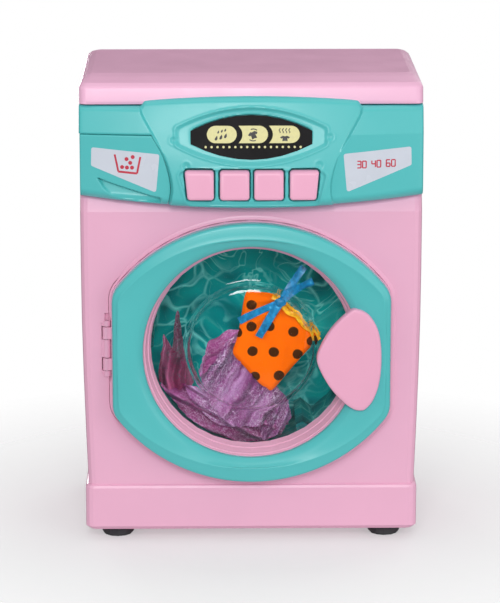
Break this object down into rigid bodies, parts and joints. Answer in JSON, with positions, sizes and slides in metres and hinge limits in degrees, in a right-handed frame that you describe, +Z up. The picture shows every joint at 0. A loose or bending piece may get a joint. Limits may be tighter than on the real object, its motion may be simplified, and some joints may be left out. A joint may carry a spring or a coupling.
{
  "type": "toy washing machine",
  "caption": "Pink and teal toy washing machine: opening door with a clear domed window, pull-out drawer, push buttons, dark display, turning drum, play laundry and battery drive.",
  "frame": {"origin": "on the floor, under the middle of the machine's footprint", "axes": "+Z up, -Y out of the front with the door, +X to the viewer's right when facing the door"},
  "size_m": [0.18, 0.13, 0.25],
  "materials": {
    "pink_plastic": "gloss",
    "teal_plastic": "gloss",
    "clear_plastic": "clear",
    "black_display": "gloss",
    "water_print": "printed",
    "orange_cloth": "matte",
    "blue_satin": "satin",
    "lilac_tulle": "matte",
    "rubber": "matte",
    "steel": "bright",
    "brass": "bright",
    "white_plastic": "satin",
    "grey_plastic": "satin",
    "dark_plastic": "satin",
    "board_green": "coated",
    "cell_wrap": "gloss",
    "red_wire": "satin",
    "black_wire": "satin"
  },
  "bodies": {
    "base": {"battery_1": "cell_wrap", "battery_2": "cell_wrap", "battery_3": "cell_wrap", "battery_box": "grey_plastic", "battery_door": "pink_plastic", "battery_door_screw": "steel", "battery_lead": "red_wire", "cabinet_shell": "pink_plastic", "case_screw_1": "steel", "case_screw_2": "steel", "case_screw_3": "steel", "case_screw_4": "steel", "control_board": "board_green", "control_panel": "teal_plastic", "display_window": "black_display", "drawer_guide": "white_plastic", "drive_plate": "grey_plastic", "foot_1": "rubber", "foot_2": "rubber", "foot_3": "rubber", "foot_4": "rubber", "gear_axle": "steel", "hinge_pin": "steel", "motor": "steel", "motor_lead": "black_wire", "panel_screw_1": "steel", "panel_screw_2": "steel", "plate_screw_1": "steel", "plate_screw_2": "steel", "power_switch": "dark_plastic", "rear_cover": "pink_plastic", "shaft_bearing": "white_plastic", "speaker": "dark_plastic", "speaker_lead": "white_plastic", "top_cover": "pink_plastic"},
    "door": {"door_front_ring": "teal_plastic", "door_back_ring": "pink_plastic", "door_window": "clear_plastic", "door_handle": "pink_plastic", "door_screw_1": "steel", "door_screw_2": "steel", "door_screw_3": "steel", "door_screw_4": "steel"},
    "drawer": {"drawer_front": "teal_plastic", "drawer_tray": "teal_plastic"},
    "button_1": {"button_1": "pink_plastic"},
    "button_2": {"button_2": "pink_plastic"},
    "button_3": {"button_3": "pink_plastic"},
    "button_4": {"button_4": "pink_plastic"},
    "drum": {"drum": "teal_plastic", "drum_backing": "water_print", "drum_shaft": "steel", "shaft_clip": "steel", "drum_gear": "white_plastic", "play_dress": "orange_cloth", "dress_ribbon": "blue_satin", "tulle_skirt": "lilac_tulle"},
    "compound": {"compound_gear": "white_plastic"},
    "pinion": {"motor_pinion": "brass"},
    "switch_knob": {"power_switch_knob": "dark_plastic"}
  },
  "joints": [
    {"name": "door_hinge", "type": "hinge", "parent": "base", "child": "door", "pos_m": [-0.0765, -0.0514, 0.10635], "axis": [0, 0, -1], "range_deg": [0, 95]},
    {"name": "drawer_slide", "type": "slide", "parent": "base", "child": "drawer", "axis": [0, -1, 0], "range_m": [0, 0.04]},
    {"name": "button_1_press", "type": "slide", "parent": "base", "child": "button_1", "axis": [0, 0.9945, -0.1045], "range_m": [0, 0.002], "stiffness_N_per_m": 900, "springref_m": -0.0003},
    {"name": "button_2_press", "type": "slide", "parent": "base", "child": "button_2", "axis": [0, 0.9945, -0.1045], "range_m": [0, 0.002], "stiffness_N_per_m": 900, "springref_m": -0.0003},
    {"name": "button_3_press", "type": "slide", "parent": "base", "child": "button_3", "axis": [0, 0.9945, -0.1045], "range_m": [0, 0.002], "stiffness_N_per_m": 900, "springref_m": -0.0003},
    {"name": "button_4_press", "type": "slide", "parent": "base", "child": "button_4", "axis": [0, 0.9945, -0.1045], "range_m": [0, 0.002], "stiffness_N_per_m": 900, "springref_m": -0.0003},
    {"name": "drum_spin", "type": "hinge", "parent": "base", "child": "drum", "pos_m": [0, 0, 0.105], "axis": [0, -1, 0], "continuous": true},
    {"name": "compound_spin", "type": "hinge", "parent": "base", "child": "compound", "pos_m": [0.02228, 0, 0.1206], "axis": [0, -1, 0], "continuous": true},
    {"name": "pinion_spin", "type": "hinge", "parent": "base", "child": "pinion", "pos_m": [0.03801, 0, 0.13161], "axis": [0, -1, 0], "continuous": true},
    {"name": "power_switch_slide", "type": "slide", "parent": "base", "child": "switch_knob", "axis": [1, 0, 0], "range_m": [0, 0.004]}
  ],
  "couplings": [
    {"joint": "compound_spin", "follows": "drum_spin", "ratio": -4.4},
    {"joint": "pinion_spin", "follows": "drum_spin", "ratio": 16.5}
  ]
}
